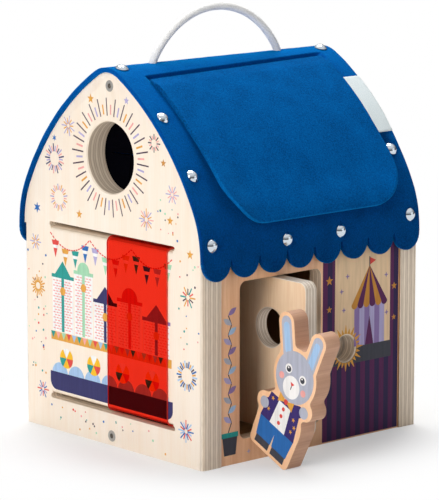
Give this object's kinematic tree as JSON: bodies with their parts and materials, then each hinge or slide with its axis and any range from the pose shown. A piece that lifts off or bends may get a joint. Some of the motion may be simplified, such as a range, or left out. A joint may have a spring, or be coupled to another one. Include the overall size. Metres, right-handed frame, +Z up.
{
  "type": "wooden activity house",
  "caption": "Arched wooden play house with a felt roof and lift-up flap, rope handle, round window, sliding red filter, turning door and a loose flat rabbit figure.",
  "frame": {"origin": "middle of the underside of the floor board, on the surface that the house stands on", "axes": "+Z up, +X along the ridge away from the window gable, -Y out of the doorway"},
  "size_m": [0.1823, 0.2399, 0.2687],
  "materials": {
    "gable_ply": "clear-coated birch plywood with a printed face",
    "front_ply": "clear-coated birch plywood with a printed face",
    "plain_wood": "plain sanded birch plywood",
    "blue_felt": "pressed felt, matt",
    "woven_label": "woven satin ribbon",
    "black_felt": "thin black felt, matt",
    "peep_mirror": "polished acrylic mirror",
    "chrome_studs": "polished nickel plate",
    "steel_fixings": "zinc-plated steel",
    "nylon_washer": "moulded nylon",
    "door_ply": "clear-coated birch plywood",
    "red_film": "clear red sheet",
    "white_rope": "twisted cotton rope",
    "figure_wood": "solid wood with a printed face"
  },
  "bodies": {
    "house": {"gable_left": "gable_ply", "gable_right": "gable_ply", "front_wall": "front_ply", "back_wall": "plain_wood", "floor_board": "plain_wood", "ridge_beam": "plain_wood", "wall_dowels_front": "plain_wood", "wall_dowels_back": "plain_wood", "roof_felt": "blue_felt", "window_curtain": "black_felt", "peep_mirror": "peep_mirror", "gable_studs_left": "chrome_studs", "gable_studs_right": "chrome_studs", "eave_studs_front": "chrome_studs", "eave_studs_back": "chrome_studs", "curtain_tacks": "chrome_studs", "bolts_left": "steel_fixings", "bolts_right": "steel_fixings", "door_pin_top": "steel_fixings", "door_pin_bottom": "steel_fixings", "door_washer": "nylon_washer", "rope_handle": "white_rope", "rope_knot_left": "white_rope", "rope_knot_right": "white_rope"},
    "door": {"turning_door": "door_ply"},
    "filter": {"red_filter": "red_film"},
    "flap": {"roof_flap": "blue_felt", "flap_label": "woven_label"},
    "figure": {"rabbit_figure": "figure_wood"}
  },
  "joints": [
    {"name": "door_turn", "type": "hinge", "parent": "house", "child": "door", "pos_m": [-0.026, -0.079, 0.0628], "axis": [0, 0, 1], "range_deg": [0, 90]},
    {"name": "filter_slide", "type": "slide", "parent": "house", "child": "filter", "axis": [0, 1, 0], "range_m": [-0.004, 0.056]},
    {"name": "flap_lift", "type": "hinge", "parent": "house", "child": "flap", "pos_m": [0, -0.01845, 0.22966], "axis": [-1, 0, 0], "range_deg": [0, 110]},
    {"name": "figure_lift", "type": "slide", "parent": "house", "child": "figure", "axis": [0, -0.7071, 0.7071], "range_m": [0, 0.12]}
  ]
}
